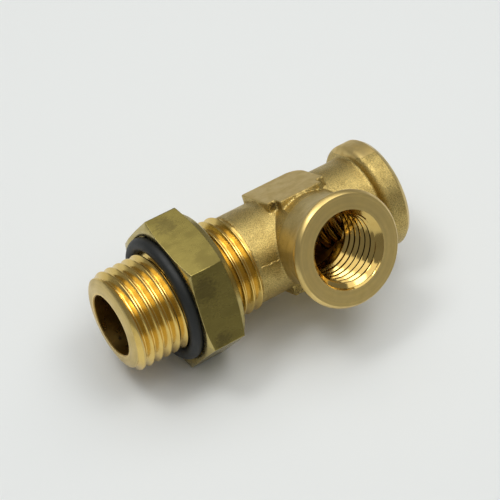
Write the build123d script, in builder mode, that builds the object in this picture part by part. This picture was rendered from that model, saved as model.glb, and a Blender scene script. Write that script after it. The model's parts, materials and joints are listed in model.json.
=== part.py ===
# Air tee connector: a brass forging with a threaded stud and two tapped bosses,
# carrying a rubber seal ring and a hexagon lock nut on the stud.
# Lengths are in millimetres and angles in degrees. The part lies on one flat of its
# nut with Z up. The run is along X with the stud towards -X, the branch points
# to -Y and upwards, and the origin is where the two bore axes cross.
import os
from math import cos, radians, sin, tan

from build123d import *

os.makedirs("parts", exist_ok=True)

# Forged body
barrel_d = 15.0
far_reach = 15.7
branch_reach = 15.7
branch_rise = 32.0
boss_d = 18.3

# Threaded stud, a plain round at the thread's major diameter
stud_reach = 34.0
stud_thread_d = 16.0
stud_thread_length = 22.3
stud_tip_chamfer = 1.1

# Forged ring round the far port
ring_width = 3.9
ring_root_radius = 0.5
ring_shoulder_radius = 1.1

# Turned flare round the branch port
flare_length = 7.6

# Chamfer that both boss faces share
face_chamfer_depth = 0.9
face_chamfer_width = 0.7

# Flat pads on top and underneath, with a stem towards the branch
pad_length = 10.6
pad_width = 8.3
pad_height = 8.0
pad_corner_radius = 2.4
stem_width = 7.6
stem_reach = 5.9

# Bores
passage_d = 10.0
port_drill_d = 10.5
port_depth = 11.6
port_mouth_d = 12.4
mouth_angle = 45.0
drill_point_angle = 118.0

# Lock nut
nut_across_flats = 22.0
nut_thickness = 7.2
nut_position = 24.1
nut_washer_d = 22.6
nut_chamfer_depth = 0.45
nut_collar_d = 21.8
nut_collar_length = 0.85
nut_collar_chamfer = 0.25
nut_bore_chamfer = 0.7
nut_blank_allowance = 0.5

# Seal ring and its seat in the nut
cord_d = 2.0
seat_depth = 0.9

# Clearances
thread_clearance = 0.05
ring_bore_clearance = 0.15
ring_seat_clearance = 0.12

# Worked out from the sizes above
barrel_r = barrel_d / 2
boss_r = boss_d / 2
passage_r = passage_d / 2
port_drill_r = port_drill_d / 2
port_mouth_r = port_mouth_d / 2
stud_r = stud_thread_d / 2
stud_run_out = stud_r - barrel_r
ring_wall = boss_r - barrel_r
ring_fillets = min(1, ring_wall / (ring_root_radius + ring_shoulder_radius))
thread_end_x = stud_thread_length - stud_reach
nut_front_x = -nut_position
nut_back_x = nut_front_x + nut_thickness
hex_back_x = nut_back_x - nut_collar_length
nut_corner_r = nut_across_flats / 3**0.5
nut_blank_r = nut_corner_r + nut_blank_allowance
nut_bore_r = stud_r + thread_clearance
ring_centre_r = stud_r + ring_bore_clearance + cord_d / 2
ring_centre_x = nut_front_x + seat_depth - ring_seat_clearance - cord_d / 2
seat_r = ring_centre_r + cord_d / 2 + ring_seat_clearance

# The branch and the pads share one plane, turned about the run by the branch's rise.
rise_sin = sin(radians(branch_rise))
rise_cos = cos(radians(branch_rise))
branch_axis = Axis((0, 0, 0), (0, -rise_cos, rise_sin))
pad_plane = Plane(origin=(0, 0, 0), x_dir=(1, 0, 0), z_dir=(0, rise_sin, rise_cos))
branch_plane = Plane(origin=(0, 0, 0), x_dir=branch_axis.direction, z_dir=pad_plane.z_dir)


def port_cutter_outline(reach):
    """Half section of a tapped port, along +X from its inner end to its mouth."""
    mouth_depth = (port_mouth_r - port_drill_r) / tan(radians(mouth_angle))
    point_depth = (port_drill_r - passage_r) / tan(radians(drill_point_angle / 2))
    inner = reach - port_depth
    Polyline(
        (inner - point_depth, 0),
        (inner - point_depth, passage_r),
        (inner, port_drill_r),
        (reach - mouth_depth, port_drill_r),
        (reach, port_mouth_r),
        (reach, 0),
        close=True,
    )


# The body is one forging: the run, the branch and the pads grow into each other,
# then the passages and ports are bored through them.
with BuildPart() as tee_body:
    with BuildSketch(Plane.XY):
        with BuildLine():
            ring_x = far_reach - ring_width
            chamfer_x = far_reach - face_chamfer_depth
            Polyline(
                (chamfer_x, boss_r),
                (far_reach, boss_r - face_chamfer_width),
                (far_reach, 0),
                (-stud_reach, 0),
                (-stud_reach, stud_r - stud_tip_chamfer),
                (-stud_reach + stud_tip_chamfer, stud_r),
                (thread_end_x, stud_r),
                (thread_end_x + stud_run_out, barrel_r),
            )
            FilletPolyline(
                (thread_end_x + stud_run_out, barrel_r),
                (ring_x, barrel_r),
                (ring_x, boss_r),
                (chamfer_x, boss_r),
                radius=[ring_root_radius * ring_fillets, ring_shoulder_radius * ring_fillets],
            )
        make_face()
    revolve(axis=Axis.X)

    # The branch is drawn along the X of its own plane.
    with BuildSketch(branch_plane):
        with BuildLine():
            flare_start = branch_reach - face_chamfer_depth - flare_length
            flare_end = branch_reach - face_chamfer_depth
            Line((0, 0), (0, barrel_r))
            Line((0, barrel_r), (flare_start, barrel_r))
            flare = TangentArc((flare_start, barrel_r), (flare_end, boss_r), tangent=(1, 0))
            Polyline(
                flare @ 1,
                (branch_reach, boss_r - face_chamfer_width),
                (branch_reach, 0),
                (0, 0),
            )
        make_face()
    revolve(axis=branch_axis)

    # Both pads come from one outline, so they stay in line with each other.
    with BuildSketch(pad_plane) as pad_outline:
        Rectangle(pad_length, pad_width)
        fillet(pad_outline.vertices().group_by(Axis.X)[-1].sort_by(Axis.Y)[-1], pad_corner_radius)
        Rectangle(stem_width, stem_reach, align=(Align.CENTER, Align.MAX))
    extrude(amount=pad_height, both=True)

    # Air passage from the stud tip, and the short way up the branch to meet it
    with BuildSketch(Plane.XY):
        with BuildLine():
            Polyline(
                (-stud_reach, 0),
                (-stud_reach, passage_r),
                (far_reach - port_depth, passage_r),
                (far_reach - port_depth, 0),
                close=True,
            )
        make_face()
    revolve(axis=Axis.X, mode=Mode.SUBTRACT)
    with BuildSketch(Plane(origin=(0, 0, 0), z_dir=branch_axis.direction)):
        Circle(passage_r)
    extrude(amount=branch_reach - port_depth, mode=Mode.SUBTRACT)

    # Tapped ports, bored to their tapping drill
    with BuildSketch(Plane.XY):
        with BuildLine():
            port_cutter_outline(far_reach)
        make_face()
    revolve(axis=Axis.X, mode=Mode.SUBTRACT)
    with BuildSketch(branch_plane):
        with BuildLine():
            port_cutter_outline(branch_reach)
        make_face()
    revolve(axis=branch_axis, mode=Mode.SUBTRACT)

# The seal ring is a round rubber cord closed on itself, held on the stud.
with BuildPart() as seal_ring:
    with BuildSketch(Plane.XY):
        with Locations((ring_centre_x, ring_centre_r)):
            Circle(cord_d / 2)
    revolve(axis=Axis.X)

# The lock nut is turned from hexagon bar: a washer face with a seat for the ring
# in front, chamfered corners, and a short round collar behind.
with BuildPart() as lock_nut:
    with BuildSketch(Plane.YZ.offset(nut_front_x)):
        RegularPolygon(nut_across_flats / 2, 6, major_radius=False)
    extrude(amount=nut_thickness - nut_collar_length)

    # The blank is a little larger than the corners, so its cones run off past them.
    with BuildSketch(Plane.XY):
        with BuildLine():
            washer_r = nut_washer_d / 2
            collar_r = nut_collar_d / 2
            cone_pitch = nut_chamfer_depth / (nut_corner_r - washer_r)
            Polyline(
                (nut_front_x, 0),
                (nut_front_x, washer_r),
                (nut_front_x + cone_pitch * (nut_blank_r - washer_r), nut_blank_r),
                (hex_back_x - cone_pitch * (nut_blank_r - collar_r), nut_blank_r),
                (hex_back_x, collar_r),
                (hex_back_x, 0),
                close=True,
            )
        make_face()
    revolve(axis=Axis.X, mode=Mode.INTERSECT)

    with BuildSketch(Plane.XY):
        with BuildLine():
            Polyline(
                (hex_back_x, 0),
                (hex_back_x, nut_collar_d / 2),
                (nut_back_x - nut_collar_chamfer, nut_collar_d / 2),
                (nut_back_x, nut_collar_d / 2 - nut_collar_chamfer),
                (nut_back_x, 0),
                close=True,
            )
        make_face()
    revolve(axis=Axis.X)

    with BuildSketch(Plane.XY):
        with BuildLine():
            Polyline(
                (nut_front_x, 0),
                (nut_front_x, seat_r),
                (nut_front_x + seat_depth, seat_r),
                (nut_front_x + seat_depth, nut_bore_r),
                (nut_back_x - nut_bore_chamfer, nut_bore_r),
                (nut_back_x, nut_bore_r + nut_bore_chamfer),
                (nut_back_x, 0),
                close=True,
            )
        make_face()
    revolve(axis=Axis.X, mode=Mode.SUBTRACT)

tee_body.part.label = "tee_body"
seal_ring.part.label = "seal_ring"
lock_nut.part.label = "lock_nut"
export_step(tee_body.part, "parts/tee_body.step")
export_step(seal_ring.part, "parts/seal_ring.step")
export_step(lock_nut.part, "parts/lock_nut.step")
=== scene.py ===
"""Looks of the air tee connector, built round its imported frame.

The frame's axes hold here too: the run is along X with the stud towards -X, Z is up,
and the branch points to -Y and upwards. Sizes are in millimetres until a piece is
finished, and each finished mesh is then scaled to metres.
"""
import json
import logging
from dataclasses import dataclass, field
from enum import Enum
from math import ceil, cos, pi, radians, sin, sqrt, tan
from typing import Callable, Sequence

import bmesh
import bpy
import numpy as np
from mathutils import Matrix, Vector

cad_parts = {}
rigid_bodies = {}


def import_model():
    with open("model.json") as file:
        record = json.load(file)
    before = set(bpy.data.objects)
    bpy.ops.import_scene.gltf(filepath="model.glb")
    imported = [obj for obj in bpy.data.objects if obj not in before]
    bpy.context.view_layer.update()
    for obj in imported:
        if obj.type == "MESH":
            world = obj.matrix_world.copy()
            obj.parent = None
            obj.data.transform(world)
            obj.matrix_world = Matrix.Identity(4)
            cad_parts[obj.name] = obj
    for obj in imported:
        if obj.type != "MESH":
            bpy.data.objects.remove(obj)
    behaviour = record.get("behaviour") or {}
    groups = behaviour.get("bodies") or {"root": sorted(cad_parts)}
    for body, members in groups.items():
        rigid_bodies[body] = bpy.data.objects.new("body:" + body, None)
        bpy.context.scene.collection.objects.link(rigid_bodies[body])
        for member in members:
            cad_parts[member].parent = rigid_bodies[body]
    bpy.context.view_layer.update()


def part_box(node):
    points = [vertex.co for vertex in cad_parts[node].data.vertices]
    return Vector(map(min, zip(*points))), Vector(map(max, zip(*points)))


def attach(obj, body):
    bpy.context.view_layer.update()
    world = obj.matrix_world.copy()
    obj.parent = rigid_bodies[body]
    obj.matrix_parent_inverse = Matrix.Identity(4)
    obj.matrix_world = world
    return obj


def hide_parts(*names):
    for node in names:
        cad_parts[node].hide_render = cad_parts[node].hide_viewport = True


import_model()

MM = 0.001
BRANCH_RISE = 32.0
LOG = logging.getLogger("air_tee")

Points = Sequence[tuple[float, float]]


def node_box_mm(node: str) -> tuple[Vector, Vector]:
    """Gives a CAD node's lowest and highest corners in millimetres.

    Args:
        node: The node's name in the frame.

    Returns:
        The two corners.
    """
    low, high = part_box(node)
    return low / MM, high / MM


class Turning(Enum):
    """Which axis a turned form is turned about, in the body's own frame."""

    RUN = "run"
    BRANCH = "branch"


class Cut(Enum):
    """What a boolean step does with its tool."""

    JOIN = "UNION"
    REMOVE = "DIFFERENCE"


class NodeSheet:
    """Adds and links nodes in a shader or geometry tree with few words."""

    def __init__(self, tree: bpy.types.NodeTree) -> None:
        """Keeps the tree.

        Args:
            tree: The node tree to fill.
        """
        self.tree = tree

    def add(self, kind: str, **settings: object) -> bpy.types.Node:
        """Adds one node.

        Args:
            kind: Blender's name for the node type.
            **settings: Properties to set on the node.

        Returns:
            The new node.
        """
        node = self.tree.nodes.new(kind)
        for name, value in settings.items():
            setattr(node, name, value)
        return node

    def feed(self, socket: bpy.types.NodeSocket, value: object) -> None:
        """Links a socket to an output, or sets its own value.

        Args:
            socket: The input socket.
            value: An output socket, or a plain value.
        """
        if isinstance(value, bpy.types.NodeSocket):
            self.tree.links.new(value, socket)
        else:
            socket.default_value = value

    def math(self, operation: str, *values: object, clamp: bool = False) -> bpy.types.NodeSocket:
        """Adds a Math node.

        Args:
            operation: The node's operation.
            *values: Its inputs, as outputs of other nodes or as numbers.
            clamp: True to keep the result between 0 and 1.

        Returns:
            The node's output.
        """
        node = self.add("ShaderNodeMath", operation=operation, use_clamp=clamp)
        for socket, value in zip(node.inputs, values):
            self.feed(socket, value)
        return node.outputs[0]


@dataclass(frozen=True)
class Thread:
    """A helical thread as a solid of revolution about X, with its ends limited by cones.

    Each limit is a radius at one end of the thread and how fast it grows or shrinks
    from there. The floor is what the radius never falls below, and the ceiling is what
    it never passes.
    """

    start: float
    end: float
    pitch: float
    root_r: float
    crest_r: float
    start_floor: float
    start_floor_slope: float
    start_ceiling: float
    start_ceiling_slope: float
    end_floor: float
    end_floor_slope: float
    end_ceiling: float
    end_ceiling_slope: float
    shift: float = 0.0
    crest_share: float = 0.125
    flank_angle: float = 30.0
    segments: int = 144


class ThreadTree:
    """The geometry nodes that turn a grid into a threaded solid."""

    FLOATS = (
        "start", "end", "pitch", "root_r", "crest_r",
        "start_floor", "start_floor_slope", "start_ceiling", "start_ceiling_slope",
        "end_floor", "end_floor_slope", "end_ceiling", "end_ceiling_slope",
        "shift", "crest_half", "flank_run", "softness",
    )
    LINES = 9
    SPARE_TURNS = 3
    EDGE = 0.016
    ROOT_EDGE = 0.04
    SOFTNESS = 0.02

    def __init__(self) -> None:
        """Builds the tree once."""
        self.tree = bpy.data.node_groups.new("thread", "GeometryNodeTree")
        self.sheet = NodeSheet(self.tree)
        face = self.tree.interface
        face.new_socket("Geometry", in_out="OUTPUT", socket_type="NodeSocketGeometry")
        self.ids: dict[str, str] = {}
        for name in self.FLOATS:
            self.ids[name] = face.new_socket(name, in_out="INPUT", socket_type="NodeSocketFloat").identifier
        for name in ("turns", "segments"):
            self.ids[name] = face.new_socket(name, in_out="INPUT", socket_type="NodeSocketInt").identifier
        self.ids["material"] = face.new_socket(
            "material", in_out="INPUT", socket_type="NodeSocketMaterial"
        ).identifier
        self._fill()

    def _fill(self) -> None:
        """Adds the nodes: a grid, its place along the helix, its radius and its finish."""
        s = self.sheet
        given = s.add("NodeGroupInput").outputs
        thread_lines = s.math("MULTIPLY", given["turns"], self.LINES)
        grid = s.add("GeometryNodeMeshGrid")
        s.feed(grid.inputs["Size X"], 1.0)
        s.feed(grid.inputs["Size Y"], 1.0)
        s.feed(grid.inputs["Vertices X"], s.math("ADD", given["segments"], 1))
        s.feed(grid.inputs["Vertices Y"], s.math("ADD", thread_lines, 2))

        place = s.add("ShaderNodeSeparateXYZ")
        s.feed(place.inputs[0], s.add("GeometryNodeInputPosition").outputs[0])
        share = s.math("ADD", place.outputs["X"], 0.5)
        line = s.math("MULTIPLY", s.math("ADD", place.outputs["Y"], 0.5), s.math("ADD", thread_lines, 1))
        line = s.math("ROUND", line)
        is_cap = s.math(
            "ADD", s.math("LESS_THAN", line, 0.5), s.math("GREATER_THAN", line, s.math("ADD", thread_lines, 0.5))
        )
        count = s.math("SUBTRACT", line, 1)
        turn = s.math("FLOOR", s.math("DIVIDE", count, self.LINES))
        step = s.math("FLOORED_MODULO", count, self.LINES)

        along = s.math("ADD", s.math("ADD", turn, share), self._line_place(given, step))
        along = s.math("SUBTRACT", s.math("SUBTRACT", along, given["shift"]), 1)
        along = s.math("MULTIPLY_ADD", along, given["pitch"], given["start"])
        along = s.math("MINIMUM", s.math("MAXIMUM", along, given["start"]), given["end"])

        radius = self._radius(given, along, share)
        radius = s.math("MULTIPLY", radius, s.math("SUBTRACT", 1, is_cap))
        angle = s.math("MULTIPLY", share, 2 * pi)
        spot = s.add("ShaderNodeCombineXYZ")
        s.feed(spot.inputs["X"], along)
        s.feed(spot.inputs["Y"], s.math("MULTIPLY", radius, s.math("COSINE", angle)))
        s.feed(spot.inputs["Z"], s.math("MULTIPLY", radius, s.math("SINE", angle)))
        moved = s.add("GeometryNodeSetPosition")
        s.feed(moved.inputs["Geometry"], grid.outputs["Mesh"])
        s.feed(moved.inputs["Position"], spot.outputs[0])
        merged = s.add("GeometryNodeMergeByDistance")
        s.feed(merged.inputs["Geometry"], moved.outputs[0])
        s.feed(merged.inputs["Distance"], 0.0005)
        real = s.add("GeometryNodeRealizeInstances")
        s.feed(real.inputs[0], merged.outputs[0])
        painted = s.add("GeometryNodeSetMaterial")
        s.feed(painted.inputs["Geometry"], real.outputs[0])
        s.feed(painted.inputs["Material"], given["material"])
        s.feed(s.add("NodeGroupOutput").inputs[0], painted.outputs[0])

    def _line_place(self, given: object, step: bpy.types.NodeSocket) -> bpy.types.NodeSocket:
        """Places each of a turn's lines by the thread's form.

        Args:
            given: The group's inputs.
            step: Which line of its turn this is.

        Returns:
            The line's share of a pitch from the crest's middle.
        """
        s = self.sheet
        crest = given["crest_half"]
        foot = s.math("ADD", crest, given["flank_run"])
        near = (
            s.math("SUBTRACT", crest, self.EDGE),
            s.math("ADD", crest, self.EDGE),
            s.math("SUBTRACT", foot, self.ROOT_EDGE),
            s.math("ADD", foot, self.ROOT_EDGE),
        )
        far = tuple(s.math("SUBTRACT", 1, value) for value in reversed(near))
        switch = s.add("GeometryNodeIndexSwitch", data_type="FLOAT")
        while len(switch.index_switch_items) < self.LINES:
            switch.index_switch_items.new()
        s.feed(switch.inputs[0], step)
        for k, value in enumerate((*near, 0.5, *far)):
            s.feed(switch.inputs[k + 1], value)
        return switch.outputs[0]

    def _radius(
        self, given: object, along: bpy.types.NodeSocket, share: bpy.types.NodeSocket
    ) -> bpy.types.NodeSocket:
        """Works out the radius at a place along the axis and round it.

        Args:
            given: The group's inputs.
            along: The place along the axis.
            share: The share of a turn round the axis.

        Returns:
            The radius.
        """
        s = self.sheet
        from_start = s.math("SUBTRACT", along, given["start"])
        to_end = s.math("SUBTRACT", given["end"], along)
        phase = s.math("SUBTRACT", s.math("DIVIDE", from_start, given["pitch"]), share)
        phase = s.math("FRACT", s.math("ADD", phase, s.math("ADD", given["shift"], 8)))
        away = s.math("SUBTRACT", 0.5, s.math("ABSOLUTE", s.math("SUBTRACT", phase, 0.5)))
        foot = s.math("ADD", given["crest_half"], given["flank_run"])
        height = s.math("DIVIDE", s.math("SUBTRACT", foot, away), given["flank_run"])
        height = s.math("SMOOTH_MIN", s.math("SMOOTH_MAX", height, 0, given["softness"]), 1, given["softness"])
        depth = s.math("SUBTRACT", given["crest_r"], given["root_r"])
        radius = s.math("MULTIPLY_ADD", height, depth, given["root_r"])
        for end, way in (("start", from_start), ("end", to_end)):
            drop = s.math("MULTIPLY", way, given[f"{end}_floor_slope"])
            radius = s.math("MAXIMUM", radius, s.math("SUBTRACT", given[f"{end}_floor"], drop))
        for end, way in (("start", from_start), ("end", to_end)):
            rise = s.math("MULTIPLY_ADD", way, given[f"{end}_ceiling_slope"], given[f"{end}_ceiling"])
            radius = s.math("MINIMUM", radius, rise)
        return radius

    def make(self, name: str, thread: Thread, material: bpy.types.Material) -> bpy.types.Object:
        """Makes one threaded solid as a plain mesh.

        Args:
            name: The object's name.
            thread: The thread's sizes.
            material: Its finish.

        Returns:
            The object, with no modifier left on it.
        """
        flank = (thread.crest_r - thread.root_r) * tan(radians(thread.flank_angle)) / thread.pitch
        values: dict[str, object] = {
            key: getattr(thread, key) for key in self.FLOATS if hasattr(thread, key)
        }
        values["crest_half"] = thread.crest_share / 2
        values["flank_run"] = flank
        values["softness"] = self.SOFTNESS
        values["turns"] = ceil((thread.end - thread.start) / thread.pitch) + self.SPARE_TURNS
        values["segments"] = thread.segments
        values["material"] = material
        mesh = bpy.data.meshes.new(name)
        piece = bpy.data.objects.new(name, mesh)
        bpy.context.collection.objects.link(piece)
        mod = piece.modifiers.new("thread", "NODES")
        mod.node_group = self.tree
        for key, value in values.items():
            mod[self.ids[key]] = value
        return Workshop.settle(piece)


class Workshop:
    """Mesh steps that every piece uses."""

    @staticmethod
    def settle(piece: bpy.types.Object) -> bpy.types.Object:
        """Turns an object's modifiers into plain mesh and takes them off.

        Args:
            piece: The object.

        Returns:
            The same object.
        """
        graph = bpy.context.evaluated_depsgraph_get()
        mesh = bpy.data.meshes.new_from_object(piece.evaluated_get(graph))
        piece.modifiers.clear()
        old = piece.data
        piece.data = mesh
        bpy.data.meshes.remove(old)
        mesh.name = piece.name
        return piece

    @staticmethod
    def from_arrays(
        name: str, verts: np.ndarray, faces: list[tuple[int, ...]], materials: Sequence[bpy.types.Material]
    ) -> bpy.types.Object:
        """Makes an object from vertices and faces.

        Args:
            name: The object's name.
            verts: The vertices, one row each.
            faces: The vertex numbers of each face.
            materials: The object's finishes.

        Returns:
            The new object, with its faces turned outwards.
        """
        mesh = bpy.data.meshes.new(name)
        mesh.from_pydata([tuple(v) for v in verts], [], faces)
        for material in materials:
            mesh.materials.append(material)
        piece = bpy.data.objects.new(name, mesh)
        bpy.context.collection.objects.link(piece)
        Workshop.clean(piece)
        return piece

    @staticmethod
    def clean(piece: bpy.types.Object, gap: float = 1e-4) -> None:
        """Merges doubles, drops stray faces and turns all faces outwards.

        Args:
            piece: The object.
            gap: How close two vertices are to be one.
        """
        bm = bmesh.new()
        bm.from_mesh(piece.data)
        bmesh.ops.remove_doubles(bm, verts=bm.verts, dist=gap)
        bmesh.ops.dissolve_degenerate(bm, edges=bm.edges, dist=gap)
        bmesh.ops.recalc_face_normals(bm, faces=bm.faces)
        if bm.calc_volume(signed=True) < 0:
            bmesh.ops.reverse_faces(bm, faces=bm.faces)
        bm.to_mesh(piece.data)
        bm.free()

    @staticmethod
    def turned(
        name: str, outline: Points, about: Turning, material: bpy.types.Material, segments: int = 144
    ) -> bpy.types.Object:
        """Turns an outline about an axis.

        Args:
            name: The object's name.
            outline: Pairs of distance along the axis and radius. The form is closed by
                a pole where the outline starts or ends at radius 0, and otherwise the
                outline is a closed loop.
            about: The axis. Along the branch, distance counts from the crossing out.
            material: Its finish.
            segments: How many steps go round.

        Returns:
            The closed object.
        """
        along = np.array([p[0] for p in outline])
        radius = np.array([p[1] for p in outline])
        angles = np.linspace(0, 2 * pi, segments, endpoint=False)
        ring = len(outline)
        verts = np.zeros((segments, ring, 3))
        verts[:, :, 0] = along
        verts[:, :, 1] = np.cos(angles)[:, None] * radius
        verts[:, :, 2] = np.sin(angles)[:, None] * radius
        closed = radius[0] > 0 or radius[-1] > 0
        faces = []
        for i in range(segments):
            j = (i + 1) % segments
            for k in range(ring if closed else ring - 1):
                m = (k + 1) % ring
                faces.append((i * ring + k, i * ring + m, j * ring + m, j * ring + k))
        piece = Workshop.from_arrays(name, verts.reshape(-1, 3), faces, [material])
        if about is Turning.BRANCH:
            piece.data.transform(Matrix.Rotation(-pi / 2, 4, "Z"))
        return piece

    @staticmethod
    def boolean(piece: bpy.types.Object, tool: bpy.types.Object, cut: Cut) -> None:
        """Joins a tool to a piece or removes it, and drops the tool.

        Args:
            piece: The object that is kept.
            tool: The object that shapes it.
            cut: Which of the two is done.
        """
        mod = piece.modifiers.new("cut", "BOOLEAN")
        mod.operation = cut.value
        mod.solver = "MANIFOLD"
        mod.material_mode = "TRANSFER"
        mod.object = tool
        Workshop.settle(piece)
        bpy.data.objects.remove(tool)

    @staticmethod
    def finish(piece: bpy.types.Object, crease: float, turn: float = 0.0) -> None:
        """Smooths a piece's shading, turns it into the row's frame and scales it.

        Args:
            piece: The object, in millimetres.
            crease: The angle in degrees from which an edge stays sharp.
            turn: How far the piece is turned about X, in degrees.
        """
        mesh = piece.data
        mesh.polygons.foreach_set("use_smooth", [True] * len(mesh.polygons))
        mesh.set_sharp_from_angle(angle=radians(crease))
        mesh.transform(Matrix.Scale(MM, 4) @ Matrix.Rotation(radians(turn), 4, "X"))
        mesh.update()
        mod = piece.modifiers.new("even shading", "WEIGHTED_NORMAL")
        mod.keep_sharp = True
        Workshop.settle(piece)


@dataclass(frozen=True)
class Spot:
    """A soft-edged dark patch on a finish, placed in the row's frame in millimetres. It stands for real nicks,
    specks and smudges on some finishes, and is painted shade in shaded corners on the forging.
    """

    place: tuple[float, float, float]
    size: float
    strength: float


@dataclass(frozen=True)
class Metal:
    """A brass finish: its colour, its sheen, its smudges, the grain on it and its dark spots, some of which are
    painted shade.

    Turned finishes also carry fine rings round their axis, and drawn ones have their
    smudges and grain stretched along the run.
    """

    name: str
    colour: tuple[float, float, float]
    dark: tuple[float, float, float]
    roughness: float
    smudge_size: float
    smudge: float
    grain_size: float
    grain_depth: float
    grain_shade: float = 0.0
    stretch: float = 1.0
    rings: Turning | None = None
    ring_pitch: float = 0.25
    ring_depth: float = 0.004
    ring_shade: float = 0.12
    spots: tuple[Spot, ...] = ()
    spot_colour: tuple[float, float, float] = (0.075, 0.055, 0.03)

    def spotted(self, s: NodeSheet, place: object, ragged: object, colour: object) -> object:
        """Darkens a colour at the finish's spots, which are real marks on some finishes and painted shade on the
        forging.

        Args:
            s: The material's sheet.
            place: The coordinates in millimetres.
            ragged: A cloud that makes the spots' edges uneven.
            colour: The colour without spots.

        Returns:
            The colour with them.
        """
        for spot in self.spots:
            away = s.add("ShaderNodeVectorMath", operation="DISTANCE")
            s.feed(away.inputs[0], place)
            s.feed(away.inputs[1], spot.place)
            uneven = s.math("MULTIPLY_ADD", s.math("SUBTRACT", ragged, 0.5), spot.size * 2, away.outputs["Value"])
            soft = s.add("ShaderNodeMapRange", interpolation_type="SMOOTHSTEP")
            s.feed(soft.inputs["Value"], uneven)
            s.feed(soft.inputs["From Min"], spot.size)
            s.feed(soft.inputs["From Max"], spot.size * 0.35)
            s.feed(soft.inputs["To Max"], spot.strength)
            mix = s.add("ShaderNodeMix", data_type="RGBA")
            s.feed(mix.inputs["Factor"], soft.outputs[0])
            s.feed(mix.inputs[6], colour)
            s.feed(mix.inputs[7], (*self.spot_colour, 1))
            colour = mix.outputs[2]
        return colour

    def noise(self, s: NodeSheet, place: object, size: float, detail: float) -> bpy.types.NodeSocket:
        """Adds a cloud of a given grain size.

        Args:
            s: The material's sheet.
            place: The coordinates it reads, in millimetres.
            size: The grain's size in millimetres.
            detail: How many finer layers it has.

        Returns:
            The cloud's value.
        """
        cloud = s.add("ShaderNodeTexNoise")
        s.feed(cloud.inputs["Vector"], place)
        s.feed(cloud.inputs["Scale"], 1 / size)
        s.feed(cloud.inputs["Detail"], detail)
        return cloud.outputs["Fac"]

    def ring_value(self, s: NodeSheet, place: bpy.types.NodeSocket) -> bpy.types.NodeSocket:
        """Adds uneven rings round the run or the branch.

        Args:
            s: The material's sheet.
            place: The coordinates in millimetres.

        Returns:
            The rings' height, between 0 and 1.
        """
        turned = s.add("ShaderNodeMapping", vector_type="POINT")
        s.feed(turned.inputs["Vector"], place)
        s.feed(turned.inputs["Rotation"], (radians(BRANCH_RISE), 0, 0))
        split = s.add("ShaderNodeSeparateXYZ")
        s.feed(split.inputs[0], turned.outputs[0])
        across = split.outputs["X"] if self.rings is Turning.BRANCH else split.outputs["Y"]
        along = split.outputs["Y"] if self.rings is Turning.BRANCH else split.outputs["X"]
        square = s.math("ADD", s.math("POWER", across, 2), s.math("POWER", split.outputs["Z"], 2))
        out = s.math("ADD", s.math("SQRT", square), along)
        line = s.add("ShaderNodeTexNoise", noise_dimensions="1D")
        s.feed(line.inputs["W"], out)
        s.feed(line.inputs["Scale"], 1 / self.ring_pitch)
        s.feed(line.inputs["Detail"], 3.0)
        return line.outputs["Fac"]

    def make(self) -> bpy.types.Material:
        """Builds the material.

        Returns:
            The material.
        """
        material = bpy.data.materials.new(self.name)
        material.use_nodes = True
        tree = material.node_tree
        s = NodeSheet(tree)
        shader = tree.nodes["Principled BSDF"]
        shader.inputs["Metallic"].default_value = 1.0
        scaled = s.add("ShaderNodeMapping", vector_type="POINT")
        s.feed(scaled.inputs["Vector"], s.add("ShaderNodeTexCoord").outputs["Object"])
        s.feed(scaled.inputs["Scale"], (1 / MM, 1 / MM, 1 / MM))
        place = scaled.outputs[0]
        drawn = s.add("ShaderNodeMapping", vector_type="POINT")
        s.feed(drawn.inputs["Vector"], place)
        s.feed(drawn.inputs["Scale"], (1 / self.stretch, 1, 1))
        smudges = self.noise(s, drawn.outputs[0], self.smudge_size, 5.0)
        grain = self.noise(s, drawn.outputs[0], self.grain_size, 2.5)

        share = s.add("ShaderNodeMapRange", interpolation_type="SMOOTHSTEP")
        s.feed(share.inputs["Value"], smudges)
        s.feed(share.inputs["From Min"], 0.4)
        s.feed(share.inputs["From Max"], 0.66)
        s.feed(share.inputs["To Max"], self.smudge)
        mix = s.add("ShaderNodeMix", data_type="RGBA")
        s.feed(mix.inputs["Factor"], share.outputs[0])
        s.feed(mix.inputs[6], (*self.colour, 1))
        s.feed(mix.inputs[7], (*self.dark, 1))
        shade = s.math("MULTIPLY_ADD", s.math("SUBTRACT", grain, 0.5), self.grain_shade * 2, 1.0)
        height = s.math("MULTIPLY", grain, self.grain_depth)
        if self.rings:
            rings = self.ring_value(s, place)
            ring_shade = s.math("MULTIPLY", s.math("SUBTRACT", rings, 0.5), self.ring_shade * 2)
            shade = s.math("ADD", shade, ring_shade)
            height = s.math("MULTIPLY_ADD", rings, self.ring_depth, height)
        toned = s.add("ShaderNodeVectorMath", operation="SCALE")
        s.feed(toned.inputs[0], mix.outputs[2])
        s.feed(toned.inputs["Scale"], shade)
        s.feed(shader.inputs["Base Color"], self.spotted(s, place, grain, toned.outputs[0]))
        rough = s.add("ShaderNodeMapRange")
        s.feed(rough.inputs["Value"], smudges)
        s.feed(rough.inputs["From Min"], 0.3)
        s.feed(rough.inputs["From Max"], 0.7)
        s.feed(rough.inputs["To Min"], self.roughness * 0.8)
        s.feed(rough.inputs["To Max"], self.roughness * 1.2)
        s.feed(shader.inputs["Roughness"], rough.outputs[0])
        bump = s.add("ShaderNodeBump")
        s.feed(bump.inputs["Strength"], 1.0)
        s.feed(bump.inputs["Distance"], MM)
        s.feed(bump.inputs["Height"], height)
        s.feed(shader.inputs["Normal"], bump.outputs[0])
        return material


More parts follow.
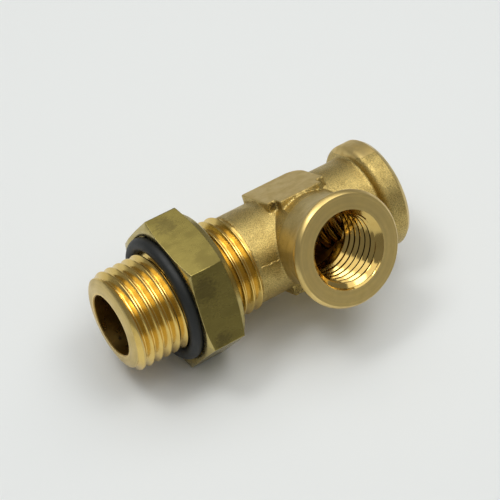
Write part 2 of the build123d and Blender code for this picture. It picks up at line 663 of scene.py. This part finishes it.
@dataclass(frozen=True)
class Rubber:
    """A matt black rubber."""

    name: str
    colour: tuple[float, float, float]
    roughness: float

    def make(self) -> bpy.types.Material:
        """Builds the material.

        Returns:
            The material.
        """
        material = bpy.data.materials.new(self.name)
        material.use_nodes = True
        tree = material.node_tree
        s = NodeSheet(tree)
        shader = tree.nodes["Principled BSDF"]
        place = s.add("ShaderNodeTexCoord").outputs["Object"]
        cloud = s.add("ShaderNodeTexNoise")
        s.feed(cloud.inputs["Vector"], place)
        s.feed(cloud.inputs["Scale"], 900.0)
        s.feed(cloud.inputs["Detail"], 4.0)
        rough = s.add("ShaderNodeMapRange")
        s.feed(rough.inputs["Value"], cloud.outputs["Fac"])
        s.feed(rough.inputs["To Min"], self.roughness * 0.8)
        s.feed(rough.inputs["To Max"], self.roughness * 1.2)
        s.feed(shader.inputs["Roughness"], rough.outputs[0])
        s.feed(shader.inputs["Base Color"], (*self.colour, 1))
        return material


@dataclass
class Finishes:
    """Every finish of the part."""

    forged: bpy.types.Material = field(
        default_factory=Metal(
            "forging_grain", (0.52, 0.39, 0.135), (0.42, 0.305, 0.1), 0.42, 1.8, 0.6, 0.17, 0.075,
            grain_shade=1.0,
            # The three spots are painted shade: dark patches in the inner corners where the pads' plates meet their
            # stems, two at the upper pad and one at the lower pad.
            spots=(
                Spot((-4.5, 0.1, 8.45), 0.85, 0.75), Spot((4.4, 0.0, 8.6), 0.6, 0.6),
                Spot((-4.6, -8.2, -3.9), 1.3, 0.75),
            ),
        ).make
    )
    coined: bpy.types.Material = field(
        default_factory=Metal(
            "coined_pad_brass", (0.7, 0.53, 0.21), (0.6, 0.44, 0.16), 0.5, 1.6, 0.6, 0.5, 0.008,
            grain_shade=0.08,
        ).make
    )
    turned_branch: bpy.types.Material = field(
        default_factory=Metal(
            "turned_branch_brass", (0.78, 0.58, 0.215), (0.67, 0.49, 0.17), 0.36, 2.5, 0.6, 0.6, 0.002,
            rings=Turning.BRANCH, ring_pitch=0.4, ring_depth=0.006,
        ).make
    )
    skirt: bpy.types.Material = field(
        default_factory=Metal(
            "skirt_brass", (0.55, 0.43, 0.175), (0.45, 0.345, 0.13), 0.5, 2.2, 0.7, 0.2, 0.012,
            grain_shade=0.3,
        ).make
    )
    turned_run: bpy.types.Material = field(
        default_factory=Metal(
            "turned_run_brass", (0.66, 0.5, 0.2), (0.56, 0.42, 0.155), 0.34, 2.5, 0.6, 0.6, 0.002,
            rings=Turning.RUN, ring_pitch=0.4, ring_depth=0.006,
        ).make
    )
    cut_thread: bpy.types.Material = field(
        default_factory=Metal(
            "thread_brass", (0.78, 0.56, 0.17), (0.68, 0.46, 0.12), 0.2, 2.0, 0.5, 0.5, 0.0004,
            spots=(Spot((-34.0, -0.2, 7.2), 0.5, 0.7), Spot((-34.0, -1.1, 6.8), 0.45, 0.6)),
        ).make
    )
    tapped: bpy.types.Material = field(
        default_factory=Metal(
            "tapped_brass", (0.66, 0.47, 0.15), (0.56, 0.38, 0.11), 0.11, 2.0, 0.5, 0.5, 0.0003,
        ).make
    )
    bored: bpy.types.Material = field(
        default_factory=Metal(
            "bored_brass", (0.5, 0.32, 0.085), (0.34, 0.21, 0.05), 0.3, 2.0, 0.6, 0.6, 0.003,
            rings=Turning.RUN, ring_pitch=0.3, ring_depth=0.004,
            spots=(Spot((-32.2, 0.7, -4.95), 0.5, 0.85),),
        ).make
    )
    tarnished: bpy.types.Material = field(
        default_factory=Metal(
            "drawn_tarnish", (0.325, 0.26, 0.072), (0.24, 0.19, 0.054), 0.27, 2.4, 0.8, 0.3, 0.003,
            grain_shade=0.1, stretch=1.6,
            spots=(
                Spot((-22.2, -7.85, 8.4), 2.6, 0.4), Spot((-21.9, -12.2, 0.8), 1.8, 0.45),
                Spot((-21.4, 4.0, 11.0), 2.2, 0.3),
            ),
        ).make
    )
    nut_turned: bpy.types.Material = field(
        default_factory=Metal(
            "nut_turned_brass", (0.52, 0.42, 0.155), (0.43, 0.34, 0.115), 0.28, 1.5, 0.5, 0.4, 0.003,
            rings=Turning.RUN, ring_pitch=0.3, ring_depth=0.005,
        ).make
    )
    rubber: bpy.types.Material = field(
        default_factory=Rubber("ring_rubber", (0.009, 0.0105, 0.0095), 0.55).make
    )


@dataclass
class TeeBody:
    """The forged and machined tee, made as one piece in its own level frame.

    In that frame the branch points to -Y and the pads to +Z and -Z; the finished mesh
    is then turned about X by the branch's rise.
    """

    barrel_r: float = 7.5
    far_reach: float = 15.7
    branch_reach: float = 15.7
    boss_r: float = 9.15
    stud_r: float = 8.0
    stud_root_r: float = 7.08
    stud_pitch: float = 1.5
    stud_tip_x: float = -34.0
    stud_tip_chamfer: float = 1.1
    thread_end_x: float = -11.7
    ring_x: float = 11.8
    ring_shoulder_r: float = 1.1
    ring_root_r: float = 0.5
    flare_length: float = 7.6
    face_chamfer_depth: float = 0.9
    face_chamfer_width: float = 0.7
    pad_length: float = 10.6
    pad_width: float = 8.3
    pad_height: float = 8.0
    pad_corner_r: float = 2.4
    stem_width: float = 7.6
    stem_reach: float = 5.9
    passage_r: float = 5.0
    port_minor_r: float = 5.25
    port_major_r: float = 6.0
    port_depth: float = 11.6
    port_mouth_r: float = 6.2
    voxel: float = 0.25
    pad_edge: float = 0.22
    pad_corner: float = 0.3
    pad_burr: float = 0.04
    pad_blend: float = 0.15
    branch_blend: float = 0.12
    flash_x: tuple[float, float] = (-10.95, -7.3)
    flash_z: float = 0.25
    flash_width: float = 0.5
    flash_height: float = 0.24
    tip_round_from_r: float = 5.35
    tip_round_to_x: float = -32.5
    bore_rim: float = 0.14
    rim_width: float = 0.5
    rim_depth: float = 0.62
    turned_from: float = 7.6
    machining: float = 0.03

    def flare_radius(self, out: np.ndarray) -> np.ndarray:
        """Gives the branch's outer radius, which swells along an arc towards its face.

        Args:
            out: Distances from the crossing along the branch.

        Returns:
            The radius at each distance.
        """
        rise = self.boss_r - self.barrel_r
        arc_r = (self.flare_length**2 + rise**2) / (2 * rise)
        begin = self.branch_reach - self.face_chamfer_depth - self.flare_length
        way = np.clip(out - begin, 0, self.flare_length)
        return self.barrel_r + arc_r - np.sqrt(arc_r**2 - way**2)

    @staticmethod
    def blend(a: np.ndarray, b: np.ndarray, width: float) -> np.ndarray:
        """Joins two distance fields with a round fillet.

        Args:
            a: Distances to the first form.
            b: Distances to the second form.
            width: How wide the fillet is.

        Returns:
            Distances to both forms joined.
        """
        share = np.clip(0.5 + 0.5 * (b - a) / width, 0, 1)
        return b * (1 - share) + a * share - width * share * (1 - share)

    def distance(self, p: np.ndarray) -> np.ndarray:
        """Gives the distance from points to the forging's outer skin.

        Args:
            p: The points, one row each, in the body's level frame.

        Returns:
            The distances, negative inside.
        """
        x, y, z = p[:, 0], p[:, 1], p[:, 2]
        from_run = np.hypot(y, z)
        barrel = np.maximum(from_run - self.barrel_r, self.thread_end_x + 0.35 - x)

        r = self.ring_shoulder_r
        in_x = self.ring_x + r - x
        in_r = from_run - (self.boss_r - r)
        ring = np.hypot(np.maximum(in_x, 0), np.maximum(in_r, 0)) + np.minimum(np.maximum(in_x, in_r), 0) - r
        skin = self.blend(barrel, ring, self.ring_root_r)
        skin = np.maximum(skin, x - (self.far_reach + 1))

        out = -y
        from_branch = np.hypot(x, z)
        branch = from_branch - self.flare_radius(out) - self.machining
        branch = np.maximum(branch, -out)
        branch = np.maximum(branch, out - (self.branch_reach + 1))
        skin = self.blend(skin, branch, self.branch_blend)
        return self.blend(skin, self.pads(x, y, z), self.pad_blend)

    def pads(self, x: np.ndarray, y: np.ndarray, z: np.ndarray) -> np.ndarray:
        """Gives the distance to the two flat pads and their stems.

        Args:
            x: Places along the run.
            y: Places across it, with the branch at -Y.
            z: Places along the pads' normal.

        Returns:
            The distances, negative inside.
        """
        burr = np.sin(5.3 * x + 0.4) + 0.7 * np.sin(9.1 * x + 2.0) + 0.5 * np.sin(15.7 * x)
        y = y - self.pad_burr * burr * (y < -self.pad_width / 4)
        r = np.where((x > 0) & (y > 0), self.pad_corner_r, self.pad_corner)
        qx = np.abs(x) - self.pad_length / 2 + r
        qy = np.abs(y) - self.pad_width / 2 + r
        plate = np.hypot(np.maximum(qx, 0), np.maximum(qy, 0)) + np.minimum(np.maximum(qx, qy), 0) - r
        sx = np.abs(x) - self.stem_width / 2
        sy = np.maximum(y, -y - self.stem_reach)
        stem = np.hypot(np.maximum(sx, 0), np.maximum(sy, 0)) + np.minimum(np.maximum(sx, sy), 0)
        outline = np.minimum(plate, stem)
        edge = self.pad_edge
        over = np.abs(z) - self.pad_height + edge
        side = outline + edge
        return np.hypot(np.maximum(side, 0), np.maximum(over, 0)) + np.minimum(np.maximum(side, over), 0) - edge

    def seat_on_skin(self, p: np.ndarray, field_of: Callable[[np.ndarray], np.ndarray]) -> np.ndarray:
        """Moves points onto the zero of a distance field.

        Args:
            p: The points.
            field_of: The distance field.

        Returns:
            The moved points.
        """
        step = 0.01
        for _ in range(4):
            here = field_of(p)
            slope = np.zeros_like(p)
            for k in range(3):
                nudge = np.zeros(3)
                nudge[k] = step
                slope[:, k] = (field_of(p + nudge) - field_of(p - nudge)) / (2 * step)
            length = np.maximum((slope**2).sum(1), 0.2)
            p = p - slope * (np.clip(here, -0.2, 0.2) / length)[:, None]
        return p

    def forging(self, finishes: Finishes) -> bpy.types.Object:
        """Makes the solid forging, before any machining.

        Args:
            finishes: The part's finishes.

        Returns:
            The forging, a closed mesh.
        """
        seeds = [
            Workshop.turned(
                "seed_run",
                ((self.thread_end_x + 0.35, 0), (self.thread_end_x + 0.35, self.barrel_r),
                 (self.ring_x, self.barrel_r), (self.ring_x, self.boss_r - 0.3),
                 (self.far_reach + 1, self.boss_r - 0.3), (self.far_reach + 1, 0)),
                Turning.RUN, finishes.forged,
            )
        ]
        outs = np.linspace(0, self.branch_reach + 1, 24)
        branch = [(0.0, 0.0), *zip(outs, self.flare_radius(outs)), (self.branch_reach + 1, 0.0)]
        seeds.append(Workshop.turned("seed_branch", branch, Turning.BRANCH, finishes.forged))
        for name, half_x, low_y, high_y in (
            ("seed_plate", self.pad_length / 2, -self.pad_width / 2, self.pad_width / 2),
            ("seed_stem", self.stem_width / 2, -self.stem_reach, 0),
        ):
            h = self.pad_height
            corners = np.array(
                [(sx * half_x, y, z) for z in (-h, h) for y in (low_y, high_y) for sx in (-1, 1)], float
            )
            faces = [(0, 1, 3, 2), (4, 6, 7, 5), (0, 4, 5, 1), (2, 3, 7, 6), (0, 2, 6, 4), (1, 5, 7, 3)]
            seeds.append(Workshop.from_arrays(name, corners, faces, [finishes.forged]))
        blank = seeds[0]
        bm = bmesh.new()
        for seed in seeds:
            bm.from_mesh(seed.data)
        bm.to_mesh(blank.data)
        bm.free()
        for seed in seeds[1:]:
            bpy.data.objects.remove(seed)
        mod = blank.modifiers.new("even skin", "REMESH")
        mod.mode = "VOXEL"
        mod.voxel_size = self.voxel
        Workshop.settle(blank)
        mesh = blank.data
        p = np.zeros(len(mesh.vertices) * 3)
        mesh.vertices.foreach_get("co", p)
        p = self.seat_on_skin(p.reshape(-1, 3), self.distance)
        mesh.vertices.foreach_set("co", p.ravel())
        mesh.materials.clear()
        mesh.materials.append(finishes.forged)
        mesh.materials.append(finishes.coined)
        mesh.update()
        heights = np.zeros(len(mesh.polygons) * 3)
        mesh.polygons.foreach_get("center", heights)
        on_pad = np.abs(heights.reshape(-1, 3)[:, 2]) > self.pad_height - 0.06
        on_pad &= heights.reshape(-1, 3)[:, 1] > -self.branch_reach / 2
        mesh.polygons.foreach_set("material_index", on_pad.astype(np.int32))
        blank.name = "tee_body_look"
        return blank

    def flash(self, finishes: Finishes) -> bpy.types.Object:
        """Makes the thin line of flash that the dies left on the neck.

        Args:
            finishes: The part's finishes.

        Returns:
            A ragged three-sided bar, half sunk in the neck.
        """
        stations = 24
        share = np.linspace(0, 1, stations)
        x = self.flash_x[0] + (self.flash_x[1] - self.flash_x[0]) * share
        ragged = 0.06 * np.sin(4.1 * x) + 0.05 * np.sin(9.7 * x + 1.0) + 0.25 * (1 - share) ** 6
        height = self.flash_height * (0.8 + 0.2 * np.sin(6.3 * x)) * np.minimum(1, 8 * np.minimum(share, 1 - share))
        verts = np.zeros((stations, 4, 3))
        for k, (rise, aside) in enumerate(((height, 0), (-0.12, 0.5), (-0.3, 0), (-0.12, -0.5))):
            r = self.barrel_r + rise
            turn = (self.flash_z + ragged + aside * self.flash_width) / self.barrel_r
            verts[:, k] = np.stack((x, -r * np.cos(turn), r * np.sin(turn)), axis=1)
        faces = [(0, 1, 2, 3), tuple(4 * (stations - 1) + k for k in (3, 2, 1, 0))]
        for i in range(stations - 1):
            for k in range(4):
                m = (k + 1) % 4
                faces.append((4 * i + k, 4 * i + 4 + k, 4 * i + 4 + m, 4 * i + m))
        return Workshop.from_arrays("flash", verts.reshape(-1, 3), faces, [finishes.forged])

    def stud_thread(self) -> Thread:
        """Gives the stud's outside thread."""
        hidden_r = self.barrel_r - 0.2
        tail = self.thread_end_x + (self.stud_r - self.barrel_r)
        end = tail + 1.0
        return Thread(
            start=self.stud_tip_x, end=end, pitch=self.stud_pitch,
            root_r=self.stud_root_r, crest_r=self.stud_r,
            start_floor=0, start_floor_slope=0,
            start_ceiling=self.stud_r - self.stud_tip_chamfer, start_ceiling_slope=1,
            end_floor=hidden_r + 0.35, end_floor_slope=0.28,
            end_ceiling=hidden_r - 0.8, end_ceiling_slope=1,
            shift=0.839, segments=168,
        )

    def port_thread(self, reach: float) -> Thread:
        """Gives a tapped port as the solid that its tap leaves open.

        Args:
            reach: The distance of the port's face from the crossing.

        Returns:
            The thread.
        """
        past = 0.6
        mouth = self.port_mouth_r + past
        return Thread(
            start=reach - self.port_depth, end=reach + past, pitch=1.5,
            root_r=self.port_minor_r, crest_r=self.port_major_r,
            start_floor=0, start_floor_slope=0,
            start_ceiling=self.port_minor_r - 0.15, start_ceiling_slope=0.5,
            end_floor=mouth, end_floor_slope=1,
            end_ceiling=mouth, end_ceiling_slope=0,
            shift=0.3, segments=120,
        )

    def facing_tool(self, reach: float, about: Turning) -> list[tuple[float, float]]:
        """Outlines what is turned off outside and beyond a boss.

        Args:
            reach: The distance of the boss's face from the crossing.
            about: Which boss it is. The branch is also turned along its flare.

        Returns:
            The outline of the removed metal.
        """
        chamfer = reach - self.face_chamfer_depth
        outer = 10.6
        beyond = reach + 2
        rim = self.boss_r - self.rim_width
        slope = [(reach - 0.04, rim + 0.05), (reach - self.rim_depth, self.boss_r - 0.04)]
        if about is Turning.RUN:
            skirt = [(chamfer - 0.5, outer + 0.5), (chamfer - 0.5, self.boss_r + 0.39)]
        else:
            outs = np.linspace(self.turned_from, chamfer, 40)
            skirt = [(self.turned_from, outer + 0.5), *zip(outs, self.flare_radius(outs))]
        return [
            (reach, 0.0), (reach, rim), *slope, *reversed(skirt), (beyond, outer + 0.5), (beyond, 0.0),
        ]

    def tip_tool(self) -> list[tuple[float, float]]:
        """Outlines what is turned off round the stud's tip, up to its rounded nose."""
        back, foot = self.tip_round_to_x, self.tip_round_from_r
        top = self.stud_r + 0.05
        turns = np.linspace(0, pi / 2, 12)
        nose = [
            (back - (back - self.stud_tip_x) * cos(t), foot + (top - foot) * sin(t)) for t in turns
        ]
        ahead = self.stud_tip_x - 1
        return [(ahead, foot), *nose, (back, top + 1), (ahead, top + 1)]

    def make(self, finishes: Finishes, threads: ThreadTree) -> bpy.types.Object:
        """Makes the finished body.

        Args:
            finishes: The part's finishes.
            threads: The thread tree.

        Returns:
            The body's visible piece, in metres in the row's frame.
        """
        body = self.forging(finishes)
        LOG.info("forging: %d faces", len(body.data.polygons))
        stud = threads.make("stud", self.stud_thread(), finishes.cut_thread)
        Workshop.clean(stud)
        Workshop.boolean(body, stud, Cut.JOIN)
        Workshop.boolean(body, self.flash(finishes), Cut.JOIN)
        nose = Workshop.turned("nose", self.tip_tool(), Turning.RUN, finishes.turned_run, 168)
        Workshop.boolean(body, nose, Cut.REMOVE)
        inner = self.far_reach - self.port_depth
        passage = Workshop.turned(
            "passage", ((self.stud_tip_x - 1, 0), (self.stud_tip_x - 1, self.passage_r + self.bore_rim + 1),
                        (self.stud_tip_x + self.bore_rim, self.passage_r),
                        (inner + 0.3, self.passage_r), (inner + 0.3, 0)), Turning.RUN, finishes.bored,
        )
        Workshop.boolean(body, passage, Cut.REMOVE)
        crossing = Workshop.turned(
            "crossing", ((0, 0), (0, self.passage_r), (inner + 0.3, self.passage_r), (inner + 0.3, 0)),
            Turning.BRANCH, finishes.bored,
        )
        Workshop.boolean(body, crossing, Cut.REMOVE)
        for about, reach in ((Turning.RUN, self.far_reach), (Turning.BRANCH, self.branch_reach)):
            tap = threads.make("tap", self.port_thread(reach), finishes.tapped)
            if about is Turning.BRANCH:
                tap.data.transform(Matrix.Rotation(-pi / 2, 4, "Z"))
            Workshop.clean(tap)
            Workshop.boolean(body, tap, Cut.REMOVE)
            finish = finishes.turned_branch if about is Turning.BRANCH else finishes.turned_run
            tool = Workshop.turned("facing", self.facing_tool(reach, about), about, finish, 192)
            if about is Turning.BRANCH:
                tool.data.materials.append(finishes.skirt)
                for face in tool.data.polygons:
                    face.material_index = int(-face.center.y < reach - self.face_chamfer_depth)
            Workshop.boolean(body, tool, Cut.REMOVE)
        Workshop.finish(body, crease=38, turn=-BRANCH_RISE)
        return body


@dataclass
class LockNut:
    """The hexagon nut, drawn as rings of points that follow its meridian."""

    across_flats: float = 22.0
    front_x: float = -24.1
    back_x: float = -16.9
    washer_r: float = 11.3
    chamfer_slope: float = 0.3214
    collar_r: float = 10.9
    collar_length: float = 0.85
    collar_chamfer: float = 0.25
    seat_r: float = 10.27
    seat_depth: float = 0.9
    bore_r: float = 8.05
    bore_chamfer: float = 0.7
    corner_r: float = 0.2
    edge: float = 0.06
    steps_to_flat: int = 36

    def hex_radius(self, angle: float) -> float:
        """Gives the hexagon's radius at an angle, with its corners rounded.

        Args:
            angle: The angle round X from +Y, in radians.

        Returns:
            The radius.
        """
        apothem = self.across_flats / 2
        sixth = pi / 3
        off = (angle + sixth / 2) % sixth - sixth / 2
        off = sixth / 2 - abs(off)
        flat = apothem / cos(off)
        centre = (apothem - self.corner_r) / cos(sixth / 2)
        aside = centre * sin(sixth / 2 - off)
        if aside >= self.corner_r:
            return flat
        rounded = centre * cos(sixth / 2 - off) + sqrt(self.corner_r**2 - aside**2)
        return min(flat, rounded)

    def meridian(self, hex_r: float) -> list[tuple[float, float]]:
        """Lists the nut's outline at one angle, from the seat round to the bore.

        Args:
            hex_r: The hexagon's radius at that angle.

        Returns:
            Pairs of place along X and radius.
        """
        e = self.edge
        hex_back = self.back_x - self.collar_length
        front_cone = self.front_x + self.chamfer_slope * (hex_r - self.washer_r)
        back_cone = hex_back - self.chamfer_slope * (hex_r - self.collar_r)
        front_cone = max(front_cone, self.front_x)
        washer = min(self.washer_r, hex_r)
        c = self.collar_chamfer
        return [
            (self.front_x + self.seat_depth, self.bore_r),
            (self.front_x + self.seat_depth, self.seat_r - e),
            (self.front_x + self.seat_depth - e, self.seat_r),
            (self.front_x + e, self.seat_r),
            (self.front_x, self.seat_r + e),
            (self.front_x, washer - e),
            (self.front_x + e * 0.2, washer),
            (front_cone - e * self.chamfer_slope, hex_r - e),
            (front_cone + e, hex_r),
            (back_cone - e, hex_r),
            (back_cone + e * self.chamfer_slope, hex_r - e),
            (hex_back, self.collar_r + e),
            (hex_back + e, self.collar_r),
            (self.back_x - c, self.collar_r),
            (self.back_x, self.collar_r - c),
            (self.back_x, self.bore_r + self.bore_chamfer),
            (self.back_x - self.bore_chamfer, self.bore_r),
        ]

    def make(self, finishes: Finishes) -> bpy.types.Object:
        """Makes the nut's visible piece.

        Args:
            finishes: The part's finishes.

        Returns:
            The piece, in metres.
        """
        corner_share = np.array([0, 0.15, 0.3, 0.45, 0.6, 0.8, 1.0])
        rounded = self.corner_r * tan(pi / 6) / (self.across_flats / 2 / cos(pi / 6))
        near = corner_share * rounded
        flat = np.linspace(rounded, pi / 6, self.steps_to_flat // 2)[1:]
        half = np.concatenate((near, flat))
        one = np.concatenate((half, pi / 3 - half[-2:0:-1]))
        angles = np.concatenate([one + k * pi / 3 for k in range(6)])
        rings = [self.meridian(self.hex_radius(float(a))) for a in angles]
        count = len(rings[0])
        verts = np.array(
            [(x, r * cos(a), r * sin(a)) for a, ring in zip(angles, rings) for x, r in ring]
        )
        total = len(angles)
        faces = []
        marks = []
        for i in range(total):
            j = (i + 1) % total
            for k in range(count):
                m = (k + 1) % count
                faces.append((i * count + k, i * count + m, j * count + m, j * count + k))
                marks.append(0 if k in (8, 9) else 1)
        mesh = bpy.data.meshes.new("lock_nut_look")
        mesh.from_pydata([tuple(v) for v in verts], [], faces)
        mesh.materials.append(finishes.tarnished)
        mesh.materials.append(finishes.nut_turned)
        mesh.polygons.foreach_set("material_index", marks)
        piece = bpy.data.objects.new("lock_nut_look", mesh)
        bpy.context.collection.objects.link(piece)
        Workshop.clean(piece)
        Workshop.finish(piece, crease=50)
        return piece


@dataclass
class SealRing:
    """The rubber ring in the nut's face."""

    front_x: float = -25.61
    back_x: float = -23.32
    inner_r: float = 8.02
    outer_r: float = 10.15
    around: int = 160
    across: int = 40

    def make(self, finishes: Finishes) -> bpy.types.Object:
        """Makes the ring's visible piece.

        Args:
            finishes: The part's finishes.

        Returns:
            The piece, in metres.
        """
        centre_x, half_x = (self.front_x + self.back_x) / 2, (self.back_x - self.front_x) / 2
        centre_r, half_r = (self.inner_r + self.outer_r) / 2, (self.outer_r - self.inner_r) / 2
        turns = np.linspace(0, 2 * pi, self.across, endpoint=False)
        loop = [(centre_x + half_x * cos(t), centre_r + half_r * sin(t)) for t in turns]
        piece = Workshop.turned("seal_ring_look", loop, Turning.RUN, finishes.rubber, self.around)
        Workshop.finish(piece, crease=60)
        return piece


@dataclass
class Studio:
    """The camera, the floor and the lights."""

    camera_at: tuple[float, float, float] = (-117.563, -154.484, 219.739)
    azimuth: float = -35.155
    elevation: float = 49.157
    roll: float = 1.098
    lens: float = 134.63
    nut_edge: tuple[float, float] = (-17.8, -11.0)
    ring_edge: tuple[float, float] = (14.8, -9.15)
    floor_size: float = 4000.0

    def camera(self) -> None:
        """Sets the camera where the photograph was taken from."""
        data = bpy.data.cameras.new("camera")
        data.lens = self.lens
        data.sensor_width = 36.0
        camera = bpy.data.objects.new("camera", data)
        bpy.context.collection.objects.link(camera)
        a, e = radians(self.azimuth), radians(self.elevation)
        back = Vector((sin(a) * cos(e), -cos(a) * cos(e), sin(e)))
        level = Vector((cos(a), sin(a), 0))
        up = back.cross(level)
        turn = radians(self.roll)
        right = level * cos(turn) + up * sin(turn)
        up = back.cross(right)
        pose = Matrix((right, up, back)).transposed().to_4x4()
        pose.translation = Vector(self.camera_at) * MM
        camera.matrix_world = pose
        data.clip_start, data.clip_end = 0.01, 20.0
        bpy.context.scene.camera = camera

    def floor(self) -> None:
        """Lays the pale floor under the nut's flat and the far boss."""
        run = self.ring_edge[0] - self.nut_edge[0]
        slope = (self.ring_edge[1] - self.nut_edge[1]) / run
        half = self.floor_size / 2
        corners = []
        for x, y in ((-half, -half), (half, -half), (half, half), (-half, half)):
            corners.append((x, y, self.nut_edge[1] + slope * (x - self.nut_edge[0])))
        mesh = bpy.data.meshes.new("floor")
        mesh.from_pydata([tuple(c * MM for c in p) for p in corners], [], [(0, 1, 2, 3)])
        floor = bpy.data.objects.new("floor", mesh)
        bpy.context.collection.objects.link(floor)
        material = bpy.data.materials.new("floor_card")
        material.use_nodes = True
        shader = material.node_tree.nodes["Principled BSDF"]
        shader.inputs["Base Color"].default_value = (0.82, 0.84, 0.825, 1)
        shader.inputs["Roughness"].default_value = 0.7
        mesh.materials.append(material)

    def lamp(self, name: str, place: tuple[float, float, float], size: float, power: float) -> None:
        """Adds a soft square lamp that points at the part.

        Args:
            name: The lamp's name.
            place: Where it stands, in millimetres.
            size: Its side, in millimetres.
            power: Its power, in watts.
        """
        data = bpy.data.lights.new(name, "AREA")
        data.size = size * MM
        data.energy = power
        lamp = bpy.data.objects.new(name, data)
        bpy.context.collection.objects.link(lamp)
        at = Vector(place) * MM
        lamp.matrix_world = Matrix.Translation(at) @ (-at).to_track_quat("-Z", "Y").to_matrix().to_4x4()

    def light(self) -> None:
        """Lights the part with a wide soft box above, a lamp in it and a dim room."""
        self.lamp("soft_box", (20, 30, 420), 620, 1.42)
        self.lamp("key", (97, -82, 379), 150, 0.24)
        self.lamp("side", (-136, 99, 363), 110, 0.27)
        world = bpy.data.worlds.new("room")
        bpy.context.scene.world = world
        world.use_nodes = True
        tree = world.node_tree
        s = NodeSheet(tree)
        room = tree.nodes["Background"]
        path = s.add("ShaderNodeLightPath")
        mix = s.add("ShaderNodeMix", data_type="RGBA")
        s.feed(mix.inputs["Factor"], path.outputs["Is Camera Ray"])
        s.feed(mix.inputs[6], (0.23, 0.23, 0.23, 1))
        s.feed(mix.inputs[7], (0.8, 0.82, 0.81, 1))
        s.feed(room.inputs["Color"], mix.outputs[2])
        s.feed(room.inputs["Strength"], 1.0)


@dataclass
class Connector:
    """The whole part: its pieces on their bodies."""

    finishes: Finishes = field(default_factory=Finishes)
    threads: ThreadTree = field(default_factory=ThreadTree)
    body: TeeBody = field(default_factory=TeeBody)
    nut: LockNut = field(default_factory=LockNut)
    ring: SealRing = field(default_factory=SealRing)

    def make(self) -> None:
        """Makes every visible piece and hangs it on its body."""
        pieces = (
            (self.body.make(self.finishes, self.threads), "tee_body", "forged_brass"),
            (self.nut.make(self.finishes), "lock_nut", "tarnished_brass"),
            (self.ring.make(self.finishes), "seal_ring", "black_rubber"),
        )
        for piece, node, slot in pieces:
            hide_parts(node)
            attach(piece, node)
            LOG.info("%s: %d faces", piece.name, len(piece.data.polygons))


def main() -> None:
    """Builds the part, the camera and the studio."""
    logging.basicConfig(level=logging.INFO, format="%(name)s: %(message)s")
    bpy.context.scene.view_settings.view_transform = "Standard"
    Connector().make()
    studio = Studio()
    studio.camera()
    studio.floor()
    studio.light()


if __name__ == "__main__":
    main()
